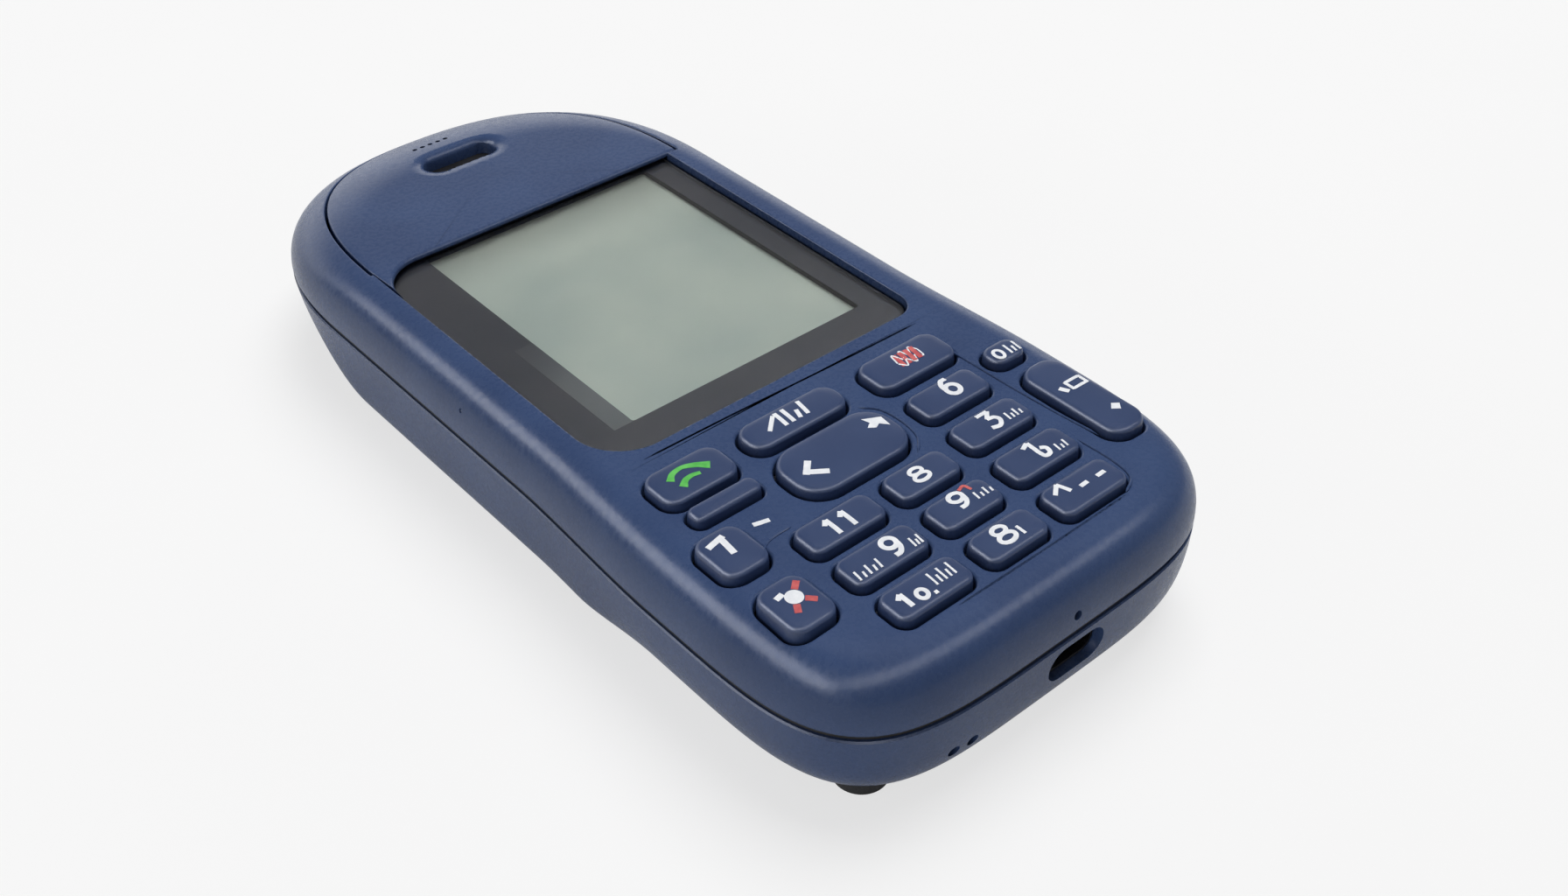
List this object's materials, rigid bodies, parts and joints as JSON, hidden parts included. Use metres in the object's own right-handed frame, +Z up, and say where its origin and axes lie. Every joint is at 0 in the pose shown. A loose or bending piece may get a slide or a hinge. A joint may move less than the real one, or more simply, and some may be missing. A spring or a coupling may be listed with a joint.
{
  "type": "feature phone",
  "caption": "Handheld feature phone with an arched earpiece end, a sunken display window, a low keypad of separate rounded keys and a sliding battery cover under the belly.",
  "frame": {"origin": "middle of the footprint, on the table that the phone lies on", "axes": "+X to the phone's right seen from the front, +Y to the earpiece end, +Z up out of the face"},
  "size_m": [0.049, 0.104, 0.0166],
  "materials": {
    "navy_shell": "fine texture, satin",
    "navy_keys": "satin",
    "tinted_window": "gloss, dark border",
    "display_glass": "grey-green",
    "white_plastic": "moulded",
    "circuit_board": "solder mask",
    "tinned_steel": "satin",
    "spring_metal": "satin",
    "grey_rubber": "matte",
    "battery_case": "satin",
    "gilt_contacts": "bright",
    "black_plastic": "matte",
    "black_rubber": "matte",
    "tungsten": "sintered"
  },
  "bodies": {
    "phone": {"front_housing": "navy_shell", "rear_housing": "navy_shell", "earpiece_panel": "navy_shell", "display_window": "tinted_window", "lcd_panel": "display_glass", "lcd_frame": "white_plastic", "main_board": "circuit_board", "shield_can": "tinned_steel", "dome_sheet": "spring_metal", "keypad_mat": "grey_rubber", "battery": "battery_case", "battery_contacts": "gilt_contacts", "sim_holder": "tinned_steel", "earpiece_speaker": "black_plastic", "earpiece_mesh": "black_plastic", "loudspeaker": "black_plastic", "microphone": "tinned_steel", "vibration_motor": "tinned_steel", "motor_sleeve": "black_rubber", "charging_socket": "tinned_steel", "socket_tongue": "black_plastic", "antenna": "gilt_contacts", "rubber_feet": "black_rubber", "housing_screws": "tinned_steel"},
    "call_key": {"call_key": "navy_keys"},
    "clear_key": {"clear_key": "navy_keys"},
    "left_upper_key": {"left_upper_key": "navy_keys"},
    "left_lower_key": {"left_lower_key": "navy_keys"},
    "soft_left_key": {"soft_left_key": "navy_keys"},
    "soft_right_key": {"soft_right_key": "navy_keys"},
    "side_round_key": {"side_round_key": "navy_keys"},
    "number_key_left_1": {"number_key_left_1": "navy_keys"},
    "number_key_left_2": {"number_key_left_2": "navy_keys"},
    "number_key_left_3": {"number_key_left_3": "navy_keys"},
    "number_key_mid_1": {"number_key_mid_1": "navy_keys"},
    "number_key_mid_2": {"number_key_mid_2": "navy_keys"},
    "number_key_mid_3": {"number_key_mid_3": "navy_keys"},
    "number_key_right_1": {"number_key_right_1": "navy_keys"},
    "number_key_right_2": {"number_key_right_2": "navy_keys"},
    "number_key_right_3": {"number_key_right_3": "navy_keys"},
    "number_key_right_4": {"number_key_right_4": "navy_keys"},
    "navigation_key": {"navigation_key": "navy_keys"},
    "side_rocker": {"side_rocker": "navy_keys"},
    "battery_cover": {"battery_cover": "navy_shell"},
    "motor_weight": {"motor_weight": "tungsten"}
  },
  "joints": [
    {"name": "call_key_press", "type": "slide", "parent": "phone", "child": "call_key", "axis": [0, 0, -1], "range_m": [0, 0.00035], "stiffness_N_per_m": 200},
    {"name": "clear_key_press", "type": "slide", "parent": "phone", "child": "clear_key", "axis": [0, 0, -1], "range_m": [0, 0.00035], "stiffness_N_per_m": 200},
    {"name": "left_upper_key_press", "type": "slide", "parent": "phone", "child": "left_upper_key", "axis": [0, 0, -1], "range_m": [0, 0.00035], "stiffness_N_per_m": 200},
    {"name": "left_lower_key_press", "type": "slide", "parent": "phone", "child": "left_lower_key", "axis": [0, 0, -1], "range_m": [0, 0.00035], "stiffness_N_per_m": 200},
    {"name": "soft_left_key_press", "type": "slide", "parent": "phone", "child": "soft_left_key", "axis": [0, 0, -1], "range_m": [0, 0.00035], "stiffness_N_per_m": 200},
    {"name": "soft_right_key_press", "type": "slide", "parent": "phone", "child": "soft_right_key", "axis": [0, 0, -1], "range_m": [0, 0.00035], "stiffness_N_per_m": 200},
    {"name": "side_round_key_press", "type": "slide", "parent": "phone", "child": "side_round_key", "axis": [0, 0, -1], "range_m": [0, 0.00035], "stiffness_N_per_m": 200},
    {"name": "number_key_left_1_press", "type": "slide", "parent": "phone", "child": "number_key_left_1", "axis": [0, 0, -1], "range_m": [0, 0.00035], "stiffness_N_per_m": 200},
    {"name": "number_key_left_2_press", "type": "slide", "parent": "phone", "child": "number_key_left_2", "axis": [0, 0, -1], "range_m": [0, 0.00035], "stiffness_N_per_m": 200},
    {"name": "number_key_left_3_press", "type": "slide", "parent": "phone", "child": "number_key_left_3", "axis": [0, 0, -1], "range_m": [0, 0.00035], "stiffness_N_per_m": 200},
    {"name": "number_key_mid_1_press", "type": "slide", "parent": "phone", "child": "number_key_mid_1", "axis": [0, 0, -1], "range_m": [0, 0.00035], "stiffness_N_per_m": 200},
    {"name": "number_key_mid_2_press", "type": "slide", "parent": "phone", "child": "number_key_mid_2", "axis": [0, 0, -1], "range_m": [0, 0.00035], "stiffness_N_per_m": 200},
    {"name": "number_key_mid_3_press", "type": "slide", "parent": "phone", "child": "number_key_mid_3", "axis": [0, 0, -1], "range_m": [0, 0.00035], "stiffness_N_per_m": 200},
    {"name": "number_key_right_1_press", "type": "slide", "parent": "phone", "child": "number_key_right_1", "axis": [0, 0, -1], "range_m": [0, 0.00035], "stiffness_N_per_m": 200},
    {"name": "number_key_right_2_press", "type": "slide", "parent": "phone", "child": "number_key_right_2", "axis": [0, 0, -1], "range_m": [0, 0.00035], "stiffness_N_per_m": 200},
    {"name": "number_key_right_3_press", "type": "slide", "parent": "phone", "child": "number_key_right_3", "axis": [0, 0, -1], "range_m": [0, 0.00035], "stiffness_N_per_m": 200},
    {"name": "number_key_right_4_press", "type": "slide", "parent": "phone", "child": "number_key_right_4", "axis": [0, 0, -1], "range_m": [0, 0.00035], "stiffness_N_per_m": 200},
    {"name": "navigation_key_tip", "type": "hinge", "parent": "phone", "child": "navigation_key", "pos_m": [-0.0032, -0.02765, 0.0134], "axis": [0, 1, 0], "range_deg": [-3, 3], "stiffness_Nm_per_rad": 0.02},
    {"name": "side_rocker_tip", "type": "hinge", "parent": "phone", "child": "side_rocker", "pos_m": [0.0187, -0.03615, 0.0134], "axis": [1, 0, 0], "range_deg": [-3, 3], "stiffness_Nm_per_rad": 0.02},
    {"name": "battery_cover_slide", "type": "slide", "parent": "phone", "child": "battery_cover", "axis": [0, -1, 0], "range_m": [0, 0.012]},
    {"name": "motor_weight_spin", "type": "hinge", "parent": "phone", "child": "motor_weight", "pos_m": [0.0151, -0.03, 0.0062], "axis": [1, 0, 0], "continuous": true}
  ]
}
